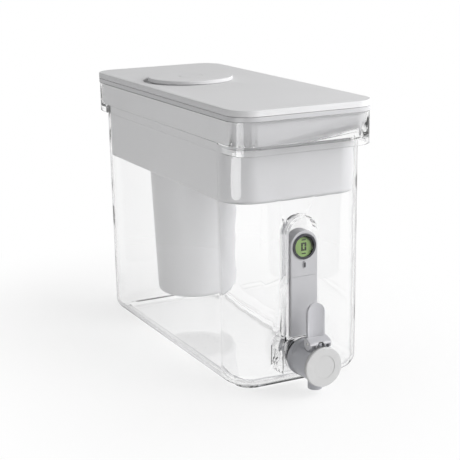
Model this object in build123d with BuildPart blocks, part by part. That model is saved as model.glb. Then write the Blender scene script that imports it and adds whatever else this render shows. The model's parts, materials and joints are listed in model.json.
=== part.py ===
# Countertop gravity water filter: a clear tank with a tap at its front, an opaque hopper that hangs in
# the tank's mouth and holds the filter cartridge, a lid with a round fill cap, and a display unit.
# Millimetres, +Z up. The origin is the middle of the tank's foot, on the table; the tap is on the -Y side.
# Distances of the tap, pocket and display unit are measured forwards from the middle, on Plane.XZ.
import os
from math import radians, tan

from build123d import *

os.makedirs("parts", exist_ok=True)

# ---------------------------------------------------------------- driving dimensions
# fits between pieces
seat_gap = 0.3          # between pieces that rest on each other and come apart
slip_gap = 0.6          # side clearance of pieces that lift out
running_gap = 0.05      # radial clearance of pins and stems

# lid
lid_length = 370.0
lid_width = 156.0
lid_corner = 24.5
overall_height = 285.0
lid_band = 6.2
lid_skin = 2.4
lid_rim = 2.5
lid_edge = 1.0
skirt_wall = 1.8

# tank
wall = 3.0
draft = 0.4
collar_end_reveal = 0.8     # lid and hopper flange past the collar
collar_side_reveal = 0.6
collar_edge = 0.5
finger_room = 14.5      # collar past the body at the two ends
side_room = 1.9         # collar past the body along the sides
body_corner = 33.0
web_depth = 23.9        # rim down to the web that carries the hopper
web_thickness = 3.0
lip_depth = 8.8         # web top down to the bottom of the finger lip
base_radius = 14.0
foot_height = 4.0
foot_inset = 15.9

# hopper and its filter cup
flange_band = 4.5
flange_edge = 0.4
hopper_wall = 2.2
hopper_height = 87.5    # flange top down to the hopper's underside
hopper_end_gap = 2.7
hopper_corner = 29.0
hopper_base_fillet = 3.5
cup_y = 80.0
cup_mouth_radius = 48.0
cup_base_radius = 41.5
cup_ground = 29.3       # cup above the tank's floor
cup_base_fillet = 6.0
drain_hole_radius = 2.2
drain_hole_count = 12
drain_circle_radius = 24.0

# filter cartridge
filter_gap = 2.4        # cartridge to cup, all round
filter_wall = 1.5
filter_flange_radius = 51.0
filter_flange = 2.4
filter_lift_room = 9.0  # cartridge base above the cup's floor
filter_dome = 7.0
filter_cap_radius = 43.0
slot_count = 10
slot_length = 14.0
slot_width = 2.6
slot_circle_radius = 27.0
grip_height = 12.0
grip_length = 46.0
grip_width = 9.0
grip_edge = 0.5
screen_thickness = 1.2
seal_radius = 1.4

# fill cap
fill_x = -15.0
fill_y = 50.0
fill_cap_radius = 46.3
fill_cap_thickness = 4.0
fill_cap_edge = 0.8
fill_hole_radius = 38.0
fill_plug_depth = 4.5
fill_plug_wall = 1.8
fill_boss_radius = 54.5
notch_reach = 6.0
notch_ledge = 4.0
notch_depth = 3.4
ring_radius = 13.6
ring_width = 1.2
ring_depth = 0.5

# pocket in the front wall
pocket_half_width = 16.5
pocket_sill = 0.8       # pocket above the tap's pad
pocket_depth = 11.5
pocket_wall = 2.5
stud_offsets = (20.4, 86.4)     # above the display unit's bottom
stud_neck_radius = 1.8
stud_head_radius = 3.2
stud_head = 1.4

# display unit
meter_half_width = 15.0
meter_sill = 1.4        # unit above the pocket's bottom
meter_height = 107.4
meter_headroom = 11.9   # pocket above the unit
meter_proud = 2.2
meter_wall = 1.6
cover_height = 61.4     # battery cover, up to the seam
meter_back_band = 4.4
meter_edge = 0.8
meter_travel = 8.0
display_drop = 16.0     # display's middle below the unit's top
bezel_radius = 13.0
bezel_neck_radius = 11.9
bezel_proud = 1.0
window_radius = 10.5
window_thickness = 1.0
window_recess = 0.6     # window behind the case's front
lcd_radius = 11.4
lcd_thickness = 1.8
lcd_standoff = 1.4
board_width = 20.0
board_length = 44.0
board_thickness = 1.2
board_corner = 2.0
board_over_display = 8.0   # board's top above the display's middle
switch_height = 0.8
button_drop = 18.4      # button below the display's middle
button_width = 2.6
button_height = 6.8
button_gap = 0.3
button_proud = 1.1
button_flange = 1.0
cell_radius = 10.0
cell_thickness = 3.2
cell_offsets = (18.9, 40.4)     # above the unit's bottom
cell_clearance = 0.2
cell_ring = 0.9
post_radius = 1.4
post_inset = 3.0
contact_width = 6.0
contact_thickness = 0.4

# tap
tap_z = 32.0
tap_projection = 41.1   # end cap's face in front of the tank's wall
pad_radius = 19.4
pad_proud = 0.8
pad_backing = 1.2
gasket_radius = 19.0
inner_gasket_radius = 16.0
gasket_thickness = 1.4
barrel_radius = 18.6
barrel_flange_radius = 19.6
barrel_flange = 2.6
barrel_ring_radius = 19.2
barrel_ring_offset = 7.0
barrel_ring = 1.6
chamber_radius = 13.0
chamber_back_wall = 3.2
shank_radius = 10.5
shank_hole_radius = 11.0
flow_bore_radius = 7.5
shank_length = 22.0     # past the inner face of the tank
thread_pitch = 2.0
thread_depth = 0.6
spout_reach = 23.6      # spout's axis in front of the tank's wall
nozzle_radius = 7.4
nozzle_edge = 1.0
nozzle_bottom = 5.0
nozzle_bore_radius = 4.8
seat_drop = 1.8         # chamber floor down to the valve seat
seat_radius = 8.6
end_cap_radius = 20.1
end_cap_thickness = 3.9
end_cap_edge = 1.0
end_cap_badge_radius = 12.0
end_cap_badge_depth = 0.4
spigot_length = 4.0
spigot_groove = 1.8
seal_ring_radius = 0.85
nut_radius = 13.4
nut_sides = 6
nut_thickness = 7.0
nut_edge = 1.0

# lever and valve
lever_arm = 5.0         # pivot to the line of the stem
lever_angle = 36.0
pivot_rise = 22.0       # above the tap's axis
pivot_radius = 1.5
deck_rise = 15.0        # flat of the barrel under the lever, above the tap's axis
deck_front = 7.2        # in front of the pivot
deck_length = 16.2
ear_radius = 2.5
ear_inner = 6.0
ear_outer = 9.5
cheek_inner = 10.0
cheek_outer = 12.0
cheek_radius = 6.4
cheek_edge = 0.4
hood_rise = 5.2         # hood's top above the pivot
hood_skin = 1.3
nose_reach = 5.2        # sloping front edge of the hood, in front of the pivot
nose_rise = 2.6
arch_radius = 4.2       # opening in the middle of the hood's front
arch_rise = 2.1
slot_drop = 0.8         # openings in front of the ears, below the pivot
paddle_half_width = 10.0
paddle_height = 39.0    # above the pivot
paddle_thickness = 3.9
paddle_edge = 0.8
dish_radius = 25.0
dish_depth = 1.6
nub_radius = 1.5
nub_inner = 3.3
stem_radius = 2.5
stem_head_width = 11.0
stem_head_length = 4.0
stem_head_corner = 1.0
stem_head = 1.4
stem_insert = 2.0       # stem sunk into the plug
guide_radius = 7.0
guide_depth = 4.0
stem_flange_radius = 6.6
stem_flange = 1.0
plug_radius = 7.4
plug_thickness = 3.0
plug_edge = 1.0
spring_radius = 5.4
spring_wire = 0.5
spring_turns = 5
ring_sides = 8          # faces round the section of a seal or the spring's wire
stem_seal_radius = 0.7

# inlet hood on the inside end of the tap
inlet_half_width = 16.0
inlet_depth = 24.0
inlet_bottom = 10.5
inlet_wall = 2.0
inlet_tooth_count = 4
inlet_tooth = 3.0

# ---------------------------------------------------------------- derived values
lid_bottom = overall_height - lid_band
flange_top = lid_bottom - seat_gap
flange_bottom = flange_top - flange_band
rim_top = flange_bottom - seat_gap
web_top = rim_top - web_depth
web_under = web_top - web_thickness
lip_bottom = web_top - lip_depth
floor_top = foot_height + wall
slope = tan(radians(draft))

collar_length = lid_length - 2 * collar_end_reveal
collar_width = lid_width - 2 * collar_side_reveal
collar_corner = lid_corner - collar_end_reveal
body_length = collar_length - 2 * finger_room
body_width = collar_width - 2 * side_room

collar_clearance = wall + slip_gap
hopper_bottom = flange_top - hopper_height
hopper_floor = hopper_bottom + hopper_wall
step_bottom = web_top + seat_gap
step_top = step_bottom + hopper_wall
cup_bottom = floor_top + cup_ground
cup_depth = hopper_bottom - cup_bottom
cup_floor = cup_bottom + hopper_wall


def body_half_length(z):
    return body_length / 2 + slope * (z - foot_height)


def body_half_width(z):
    return body_width / 2 + slope * (z - foot_height)


def cup_radius(z):
    return cup_base_radius + (cup_mouth_radius - cup_base_radius) * (z - cup_bottom) / cup_depth


mouth_length = 2 * (body_half_length(web_top) - wall)
mouth_width = 2 * (body_half_width(web_top) - wall)
hopper_length = 2 * (body_half_length(hopper_bottom) - wall - hopper_end_gap)
hopper_width = 2 * (body_half_width(hopper_bottom) - wall - slip_gap)

seal_bottom = hopper_floor + seat_gap
filter_flange_bottom = seal_bottom + seal_radius
filter_flange_top = filter_flange_bottom + filter_flange
filter_base = cup_floor + filter_lift_room
filter_floor = filter_base + filter_wall
media_bottom = filter_floor + screen_thickness
media_top = filter_flange_bottom - screen_thickness

front_wall = body_half_length(tap_z)
pocket_bottom = tap_z + pad_radius + pocket_sill
meter_bottom = pocket_bottom + meter_sill
meter_top = meter_bottom + meter_height
meter_seam = meter_bottom + cover_height
pocket_top = meter_top + meter_headroom
pocket_back = body_half_length(pocket_top) - pocket_depth
meter_front = body_half_length(meter_seam) + meter_proud
meter_back = pocket_back + seat_gap
meter_split = meter_back + meter_back_band
display_z = meter_top - display_drop
button_z = display_z - button_drop
window_back = meter_front - window_recess - window_thickness
lcd_back = window_back - lcd_thickness
board_front = lcd_back - lcd_standoff
board_top = display_z + board_over_display
board_back = board_front - board_thickness
stud_neck = meter_wall + 2 * seat_gap
stud_heights = [meter_bottom + offset for offset in stud_offsets]
cell_heights = [meter_bottom + offset for offset in cell_offsets]

pad_front = front_wall + pad_proud
pad_back = front_wall - wall - pad_backing
barrel_back = pad_front + gasket_thickness
tap_reach = front_wall + tap_projection
spout_y = front_wall + spout_reach
end_cap_back = tap_reach - end_cap_thickness
shank_end = front_wall - wall - shank_length
nut_front = pad_back - gasket_thickness
nut_back = nut_front - nut_thickness
chamber_back = barrel_back + chamber_back_wall
chamber_floor = tap_z - chamber_radius
valve_seat = chamber_floor - seat_drop
plug_bottom = valve_seat + seat_gap
plug_top = plug_bottom + plug_thickness
spring_bottom = plug_top + stem_flange
pivot_y = spout_y + lever_arm
pivot_z = tap_z + pivot_rise
deck_z = tap_z + deck_rise
guide_bottom = deck_z - guide_depth
paddle_back = pivot_y - cheek_radius
paddle_front = paddle_back + paddle_thickness
paddle_top = pivot_z + paddle_height
hood_top = pivot_z + hood_rise
stem_bottom = plug_top - stem_insert
stem_head_bottom = pivot_z + nub_radius + seat_gap
inlet_front = nut_back - seat_gap
inlet_back = inlet_front - inlet_depth
inlet_top = tap_z + inlet_half_width


# ---------------------------------------------------------------- shared outlines
def rounded_outline(length, width, corner, inset=0.0, mode=Mode.ADD):
    RectangleRounded(width - 2 * inset, length - 2 * inset, corner - inset, mode=mode)


def arch_outline(half_width, bottom, top, inset=0.0, mode=Mode.ADD):
    # upright panel with a round top
    radius = half_width - inset
    centre = top - half_width
    with Locations((0, bottom + inset)):
        Rectangle(2 * radius, centre - bottom - inset, align=(Align.CENTER, Align.MIN), mode=mode)
    with Locations((0, centre)):
        Circle(radius, mode=mode)


def disc(distance, radius, depth, hole=0.0, mode=Mode.ADD):
    # round slab on the tap's axis, from this distance forwards
    with BuildSketch(Plane.XZ.offset(distance)) as outline:
        with Locations((0, tap_z)):
            Circle(radius)
            if hole:
                Circle(hole, mode=Mode.SUBTRACT)
    extrude(outline.sketch, amount=depth, mode=mode)


def upright(x, y, bottom, radius, height, hole=0.0, mode=Mode.ADD):
    # round slab standing on this height
    with BuildSketch(Plane.XY.offset(bottom)) as outline:
        with Locations((x, y)):
            Circle(radius)
            if hole:
                Circle(hole, mode=Mode.SUBTRACT)
    extrude(outline.sketch, amount=height, mode=mode)


def tapered_cup(bottom, top, inset, mode=Mode.ADD):
    # drafted round body on the cup's axis, this far inside the cup's outer face
    with BuildSketch(Plane.XY.offset(bottom)) as low:
        with Locations((0, cup_y)):
            Circle(cup_radius(bottom) - inset)
    with BuildSketch(Plane.XY.offset(top)) as high:
        with Locations((0, cup_y)):
            Circle(cup_radius(top) - inset)
    loft([low.sketch.face(), high.sketch.face()], mode=mode)


def ring_section(x, y, radius):
    # many-sided section of a seal or a wire, where it meets the sketch
    with Locations((x, y)):
        RegularPolygon(radius, ring_sides, rotation=180 / ring_sides)


# ---------------------------------------------------------------- tank
with BuildPart() as tank_core:
    # the drafted space inside the body
    with BuildSketch(Plane.XY.offset(floor_top)):
        rounded_outline(body_length, body_width, body_corner, wall)
    extrude(amount=web_top - floor_top, taper=-draft)
    fillet(tank_core.edges().group_by(Axis.Z)[0], base_radius - wall)

with BuildPart() as tank_collar:
    # upright band with softened edges, from the rim down to the finger lip
    with BuildSketch(Plane.XY.offset(lip_bottom)):
        rounded_outline(collar_length, collar_width, collar_corner)
        rounded_outline(collar_length, collar_width, collar_corner, wall, mode=Mode.SUBTRACT)
    extrude(amount=rim_top - lip_bottom)
    levels = tank_collar.edges().group_by(Axis.Z)
    fillet(levels[0] + levels[-1], collar_edge)

with BuildPart() as tank:
    # drafted body with a large bottom radius
    with BuildSketch(Plane.XY.offset(foot_height)):
        rounded_outline(body_length, body_width, body_corner)
    extrude(amount=web_top - foot_height, taper=-draft)
    fillet(tank.edges().group_by(Axis.Z)[0], base_radius)
    add(tank_core.part, mode=Mode.SUBTRACT)
    # the floor steps down into a flat foot
    with BuildSketch():
        rounded_outline(body_length, body_width, body_corner, foot_inset)
    extrude(amount=foot_height + wall / 2)
    with BuildSketch(Plane.XY.offset(wall)):
        rounded_outline(body_length, body_width, body_corner, foot_inset + wall)
    extrude(amount=foot_height, mode=Mode.SUBTRACT)
    # web and collar that widen the mouth; the collar hangs below the web as a finger lip
    with BuildSketch(Plane.XY.offset(web_under)):
        rounded_outline(collar_length, collar_width, collar_corner)
        rounded_outline(mouth_length, mouth_width, body_corner, mode=Mode.SUBTRACT)
    extrude(amount=web_thickness)
    add(tank_collar.part)
    # arched pocket for the display unit, sunk into the front wall
    with BuildSketch(Plane.XZ.offset(pocket_back - pocket_wall)):
        arch_outline(pocket_half_width, pocket_bottom, pocket_top, inset=-pocket_wall)
    extrude(amount=front_wall - wall / 2 - pocket_back + pocket_wall)
    with BuildSketch(Plane.XZ.offset(pocket_back)):
        arch_outline(pocket_half_width, pocket_bottom, pocket_top)
    extrude(amount=2 * pocket_depth, mode=Mode.SUBTRACT)
    # headed studs that the display unit hangs on
    for height in stud_heights:
        with BuildSketch(Plane.XZ.offset(pocket_back)):
            with Locations((0, height)):
                Circle(stud_neck_radius)
        extrude(amount=stud_neck)
        with BuildSketch(Plane.XZ.offset(pocket_back + stud_neck)):
            with Locations((0, height)):
                Circle(stud_head_radius)
        extrude(amount=stud_head)
    # flat pad and hole for the tap
    disc(pad_back, pad_radius, pad_front - pad_back)
    disc(pad_back, shank_hole_radius, pad_front - pad_back, mode=Mode.SUBTRACT)
tank.part.label = "tank"
export_step(tank.part, "parts/tank.step")

# ---------------------------------------------------------------- hopper with its filter cup
with BuildPart() as hopper_flange:
    with BuildSketch(Plane.XY.offset(flange_bottom)):
        rounded_outline(lid_length, lid_width, lid_corner)
    extrude(amount=flange_band)
    levels = hopper_flange.edges().group_by(Axis.Z)
    fillet(levels[0] + levels[-1], flange_edge)

with BuildPart() as hopper:
    with BuildSketch(Plane.XY.offset(hopper_bottom)):
        rounded_outline(hopper_length, hopper_width, hopper_corner)
    extrude(amount=step_top - hopper_bottom, taper=-draft)
    fillet(hopper.edges().group_by(Axis.Z)[0], hopper_base_fillet)
    with BuildSketch(Plane.XY.offset(step_bottom)):
        rounded_outline(collar_length, collar_width, collar_corner, collar_clearance)
    extrude(amount=flange_bottom - step_bottom)
    add(hopper_flange.part)
    tapered_cup(cup_bottom, hopper_floor, 0)
    fillet(hopper.edges().group_by(Axis.Z)[0], cup_base_fillet)
    # inside
    with BuildSketch(Plane.XY.offset(hopper_floor)):
        rounded_outline(hopper_length, hopper_width, hopper_corner, hopper_wall)
    extrude(amount=step_top - hopper_floor, taper=-draft, mode=Mode.SUBTRACT)
    with BuildSketch(Plane.XY.offset(step_top)):
        rounded_outline(collar_length, collar_width, collar_corner, collar_clearance + hopper_wall)
    extrude(amount=flange_top - step_top, mode=Mode.SUBTRACT)
    tapered_cup(cup_floor, hopper_floor, hopper_wall, mode=Mode.SUBTRACT)
    # drain holes in the cup's floor
    with BuildSketch(Plane.XY.offset(cup_bottom)):
        with Locations((0, cup_y)):
            with PolarLocations(drain_circle_radius, drain_hole_count):
                Circle(drain_hole_radius)
    extrude(amount=hopper_wall, mode=Mode.SUBTRACT)
hopper.part.label = "hopper"
export_step(hopper.part, "parts/hopper.step")

# ---------------------------------------------------------------- filter cartridge
filter_inset = hopper_wall + filter_gap

with BuildPart() as filter_housing:
    tapered_cup(filter_base, filter_flange_bottom, filter_inset)
    fillet(filter_housing.edges().group_by(Axis.Z)[0], filter_wall)
    upright(0, cup_y, filter_flange_bottom, filter_flange_radius, filter_flange)
    tapered_cup(filter_floor, filter_flange_bottom, filter_inset + filter_wall, mode=Mode.SUBTRACT)
    filter_mouth = filter_cap_radius - filter_wall
    upright(0, cup_y, filter_flange_bottom, filter_mouth, filter_flange, mode=Mode.SUBTRACT)
    # outlet slots in the base
    with BuildSketch(Plane.XY.offset(filter_base)):
        with Locations((0, cup_y)):
            with PolarLocations(slot_circle_radius, slot_count):
                SlotOverall(slot_length, slot_width)
    extrude(amount=filter_wall, mode=Mode.SUBTRACT)
filter_housing.part.label = "filter_housing"
export_step(filter_housing.part, "parts/filter_housing.step")

with BuildPart() as filter_cap:
    # shallow dome with inlet slots and a grip bar across it
    dome_radius = (filter_cap_radius**2 + filter_dome**2) / (2 * filter_dome)
    with BuildSketch(Plane.YZ):
        with BuildLine():
            rim = (cup_y + filter_cap_radius, filter_flange_top)
            crown = (cup_y, filter_flange_top + filter_dome)
            RadiusArc(rim, crown, -dome_radius)
            Line(crown, (cup_y, filter_flange_top + filter_dome - filter_wall))
            inner_rim = (cup_y + filter_cap_radius - filter_wall, filter_flange_top)
            RadiusArc((cup_y, filter_flange_top + filter_dome - filter_wall), inner_rim, dome_radius)
            Line(inner_rim, rim)
        make_face()
    revolve(axis=Axis((0, cup_y, 0), (0, 0, 1)))
    with BuildSketch(Plane.XY.offset(filter_flange_top)):
        with Locations((0, cup_y)):
            SlotOverall(grip_length, grip_width)
            SlotOverall(grip_length - 2 * filter_wall, grip_width - 2 * filter_wall, mode=Mode.SUBTRACT)
    extrude(amount=filter_dome + grip_height)
    with BuildSketch(Plane.XY.offset(filter_flange_top + filter_dome + grip_height - filter_wall)):
        with Locations((0, cup_y)):
            SlotOverall(grip_length, grip_width)
    extrude(amount=filter_wall)
    chamfer(filter_cap.edges().group_by(Axis.Z)[-1], grip_edge)
    with BuildSketch(Plane.XY.offset(filter_flange_top)):
        with Locations((0, cup_y)):
            with PolarLocations(slot_circle_radius + filter_wall, slot_count, start_angle=180 / slot_count):
                SlotOverall(slot_length, slot_width)
    extrude(amount=filter_dome, mode=Mode.SUBTRACT)
filter_cap.part.label = "filter_cap"
export_step(filter_cap.part, "parts/filter_cap.step")

with BuildPart() as filter_media:
    tapered_cup(media_bottom, media_top, filter_inset + filter_wall)
filter_media.part.label = "filter_media"
export_step(filter_media.part, "parts/filter_media.step")

with BuildPart() as bottom_screen:
    tapered_cup(filter_floor, media_bottom, filter_inset + filter_wall)
bottom_screen.part.label = "bottom_screen"
export_step(bottom_screen.part, "parts/bottom_screen.step")

with BuildPart() as top_screen:
    tapered_cup(media_top, filter_flange_bottom, filter_inset + filter_wall)
top_screen.part.label = "top_screen"
export_step(top_screen.part, "parts/top_screen.step")

with BuildPart() as filter_seal:
    # round-section ring between the cartridge flange and the hopper floor
    seal_middle = (cup_mouth_radius - hopper_wall + filter_flange_radius) / 2
    with BuildSketch(Plane.YZ):
        ring_section(cup_y + seal_middle, seal_bottom + seal_radius, seal_radius)
        with Locations((cup_y + seal_middle, seal_bottom + seal_radius)):
            Rectangle(2 * seal_radius, seal_radius, align=(Align.CENTER, Align.MIN), mode=Mode.SUBTRACT)
    revolve(axis=Axis((0, cup_y, 0), (0, 0, 1)))
filter_seal.part.label = "filter_seal"
export_step(filter_seal.part, "parts/filter_seal.step")

# ---------------------------------------------------------------- lid and fill cap
skirt_inset = collar_clearance + hopper_wall + slip_gap
skirt_depth = flange_band + seat_gap     # down to the underside of the hopper's flange

with BuildPart() as lid:
    with BuildSketch(Plane.XY.offset(lid_bottom)):
        rounded_outline(lid_length, lid_width, lid_corner)
    extrude(amount=lid_band)
    fillet(lid.edges().group_by(Axis.Z)[-1], lid_edge)
    fillet(lid.edges().group_by(Axis.Z)[0], flange_edge)
    # hollow underside with a solid ring round the fill hole
    with BuildSketch(Plane.XY.offset(lid_bottom)):
        rounded_outline(lid_length, lid_width, lid_corner, lid_rim)
        with Locations((fill_x, fill_y)):
            Circle(fill_boss_radius, mode=Mode.SUBTRACT)
    extrude(amount=lid_band - lid_skin, mode=Mode.SUBTRACT)
    # skirt that centres the lid in the hopper
    with BuildSketch(Plane.XY.offset(lid_bottom - skirt_depth)):
        rounded_outline(collar_length, collar_width, collar_corner, skirt_inset)
        skirt_inside = skirt_inset + skirt_wall
        rounded_outline(collar_length, collar_width, collar_corner, skirt_inside, mode=Mode.SUBTRACT)
    extrude(amount=skirt_depth + lid_band - lid_skin)
    upright(fill_x, fill_y, lid_bottom, fill_hole_radius, lid_band, mode=Mode.SUBTRACT)
    # finger notch, a crescent that runs in under the cap
    with BuildSketch(Plane.XY.offset(overall_height)):
        with Locations((fill_x - notch_reach, fill_y)):
            Circle(fill_cap_radius)
        with Locations((fill_x, fill_y)):
            Circle(fill_cap_radius - notch_ledge, mode=Mode.SUBTRACT)
    extrude(amount=-notch_depth, mode=Mode.SUBTRACT)
lid.part.label = "lid"
export_step(lid.part, "parts/lid.step")

with BuildPart() as fill_cap:
    cap_bottom = overall_height + seat_gap
    upright(fill_x, fill_y, cap_bottom, fill_cap_radius, fill_cap_thickness)
    fillet(fill_cap.edges().group_by(Axis.Z)[-1], fill_cap_edge)
    fillet(fill_cap.edges().group_by(Axis.Z)[0], flange_edge)
    plug = fill_hole_radius - slip_gap
    upright(fill_x, fill_y, cap_bottom - fill_plug_depth, plug, fill_plug_depth, hole=plug - fill_plug_wall)
    ring_floor = cap_bottom + fill_cap_thickness - ring_depth
    ring_hole = ring_radius - ring_width
    upright(fill_x, fill_y, ring_floor, ring_radius, ring_depth, hole=ring_hole, mode=Mode.SUBTRACT)
fill_cap.part.label = "fill_cap"
export_step(fill_cap.part, "parts/fill_cap.step")

# ---------------------------------------------------------------- display unit


def meter_outline(distance, inset=0.0):
    # arch of the display unit's case on an upright plane this far forwards
    with BuildSketch(Plane.XZ.offset(distance)) as outline:
        arch_outline(meter_half_width, meter_bottom, meter_top, inset=inset)
    return outline.sketch


def meter_shell():
    # front of the case, open at the back
    extrude(meter_outline(meter_split), amount=meter_front - meter_split)
    fillet(faces().sort_by(Axis.Y)[0].edges(), meter_edge)
    inside = meter_front - meter_split - meter_wall
    extrude(meter_outline(meter_split, meter_wall), amount=inside, mode=Mode.SUBTRACT)


with BuildPart() as meter_housing:
    meter_shell()
    split(bisect_by=Plane.XY.offset(meter_seam + seat_gap / 2), keep=Keep.TOP)
    # openings for the display and the button
    with BuildSketch(Plane.XZ.offset(meter_split)):
        with Locations((0, display_z)):
            Circle(bezel_neck_radius + running_gap)
        with Locations((0, button_z)):
            SlotOverall(button_height + 2 * button_gap, button_width + 2 * button_gap, rotation=90)
    extrude(amount=meter_front - meter_split, mode=Mode.SUBTRACT)
meter_housing.part.label = "meter_housing"
export_step(meter_housing.part, "parts/meter_housing.step")

with BuildPart() as battery_cover:
    meter_shell()
    split(bisect_by=Plane.XY.offset(meter_seam - seat_gap / 2), keep=Keep.BOTTOM)
battery_cover.part.label = "battery_cover"
export_step(battery_cover.part, "parts/battery_cover.step")

with BuildPart() as meter_back_cover:
    extrude(meter_outline(meter_back), amount=meter_back_band)
    inside = meter_back_band - meter_wall
    extrude(meter_outline(meter_back + meter_wall, meter_wall), amount=inside, mode=Mode.SUBTRACT)
    # keyholes: the studs sit in the slots, and lifting the unit brings the round holes to their heads
    with BuildSketch(Plane.XZ.offset(meter_back)):
        for height in stud_heights:
            with Locations((0, height - meter_travel)):
                Circle(stud_head_radius + slip_gap)
            with Locations((0, height - meter_travel / 2)):
                SlotCenterToCenter(meter_travel, 2 * (stud_neck_radius + slip_gap), rotation=90)
    extrude(amount=meter_wall, mode=Mode.SUBTRACT)
    # posts under the circuit board
    with BuildSketch(Plane.XZ.offset(meter_back + meter_wall)):
        with Locations((0, board_top - board_length / 2)):
            with GridLocations(board_width - 2 * post_inset, board_length - 2 * post_inset, 2, 2):
                Circle(post_radius)
    extrude(amount=board_back - meter_back - meter_wall)
    # rings round the cells, notched for the contact strip
    with BuildSketch(Plane.XZ.offset(meter_back + meter_wall)):
        for height in cell_heights:
            with Locations((0, height)):
                Circle(cell_radius + cell_clearance + cell_ring)
        for height in cell_heights:
            with Locations((0, height)):
                Circle(cell_radius + cell_clearance, mode=Mode.SUBTRACT)
    extrude(amount=board_back - meter_back - meter_wall + cell_thickness / 2)
    with BuildSketch(Plane.XZ.offset(board_back - contact_thickness)):
        with Locations((0, cell_heights[0])):
            notch = cell_heights[1] - cell_heights[0] + 2 * cell_radius
            Rectangle(contact_width + 2 * seat_gap, notch, align=(Align.CENTER, Align.MIN))
    extrude(amount=cell_thickness, mode=Mode.SUBTRACT)
meter_back_cover.part.label = "meter_back_cover"
export_step(meter_back_cover.part, "parts/meter_back_cover.step")

with BuildPart() as display_bezel:
    # ring round the display with a neck through the case
    with BuildSketch(Plane.XZ.offset(meter_front)):
        with Locations((0, display_z)):
            Circle(bezel_radius)
    extrude(amount=bezel_proud)
    fillet(display_bezel.edges().group_by(Axis.Y)[0], bezel_proud / 2)
    with BuildSketch(Plane.XZ.offset(meter_front - meter_wall)):
        with Locations((0, display_z)):
            Circle(bezel_neck_radius)
    extrude(amount=meter_wall)
    with BuildSketch(Plane.XZ.offset(meter_front - meter_wall)):
        with Locations((0, display_z)):
            Circle(window_radius + running_gap)
    extrude(amount=meter_wall + bezel_proud, mode=Mode.SUBTRACT)
display_bezel.part.label = "display_bezel"
export_step(display_bezel.part, "parts/display_bezel.step")

with BuildPart() as display_window:
    with BuildSketch(Plane.XZ.offset(window_back)):
        with Locations((0, display_z)):
            Circle(window_radius)
    extrude(amount=window_thickness)
display_window.part.label = "display_window"
export_step(display_window.part, "parts/display_window.step")

with BuildPart() as lcd_panel:
    with BuildSketch(Plane.XZ.offset(lcd_back)):
        with Locations((0, display_z)):
            Circle(lcd_radius)
    extrude(amount=lcd_thickness)
lcd_panel.part.label = "lcd_panel"
export_step(lcd_panel.part, "parts/lcd_panel.step")

with BuildPart() as circuit_board:
    with BuildSketch(Plane.XZ.offset(board_back)):
        with Locations((0, board_top)):
            RectangleRounded(board_width, board_length, board_corner, align=(Align.CENTER, Align.MAX))
    extrude(amount=board_thickness)
    # switch under the button
    with BuildSketch(Plane.XZ.offset(board_front)):
        with Locations((0, button_z)):
            Rectangle(button_height, button_height)
    extrude(amount=switch_height)
circuit_board.part.label = "circuit_board"
export_step(circuit_board.part, "parts/circuit_board.step")

with BuildPart() as meter_button:
    with BuildSketch(Plane.XZ.offset(meter_front - meter_wall - button_flange)):
        with Locations((0, button_z)):
            SlotOverall(button_height, button_width, rotation=90)
    extrude(amount=button_flange + meter_wall + button_proud)
    fillet(meter_button.edges().group_by(Axis.Y)[0], button_gap)
    # flange that keeps it in the case
    with BuildSketch(Plane.XZ.offset(meter_front - meter_wall - seat_gap - button_flange)):
        with Locations((0, button_z)):
            SlotOverall(button_height + 2 * button_flange, button_width + 2 * button_flange, rotation=90)
    extrude(amount=button_flange)
meter_button.part.label = "meter_button"
export_step(meter_button.part, "parts/meter_button.step")

with BuildPart() as coin_cells:
    with BuildSketch(Plane.XZ.offset(board_back)):
        for height in cell_heights:
            with Locations((0, height)):
                Circle(cell_radius)
    extrude(amount=cell_thickness)
coin_cells.part.label = "coin_cells"
export_step(coin_cells.part, "parts/coin_cells.step")

with BuildPart() as battery_contact:
    # strip that joins the backs of the two cells and runs up to the board
    strip_bottom = cell_heights[0] - cell_radius / 2
    strip_top = board_top - board_length + contact_width
    with BuildSketch(Plane.XZ.offset(board_back - contact_thickness)):
        with Locations((0, strip_bottom)):
            Rectangle(contact_width, strip_top - strip_bottom, align=(Align.CENTER, Align.MIN))
    extrude(amount=contact_thickness)
battery_contact.part.label = "battery_contact"
export_step(battery_contact.part, "parts/battery_contact.step")

# ---------------------------------------------------------------- tap
# upright plane along the tank whose x runs forwards
lengthwise = Plane(origin=(0, 0, 0), x_dir=(0, -1, 0), z_dir=(-1, 0, 0))
deck_clearance = pivot_z - deck_z

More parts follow.
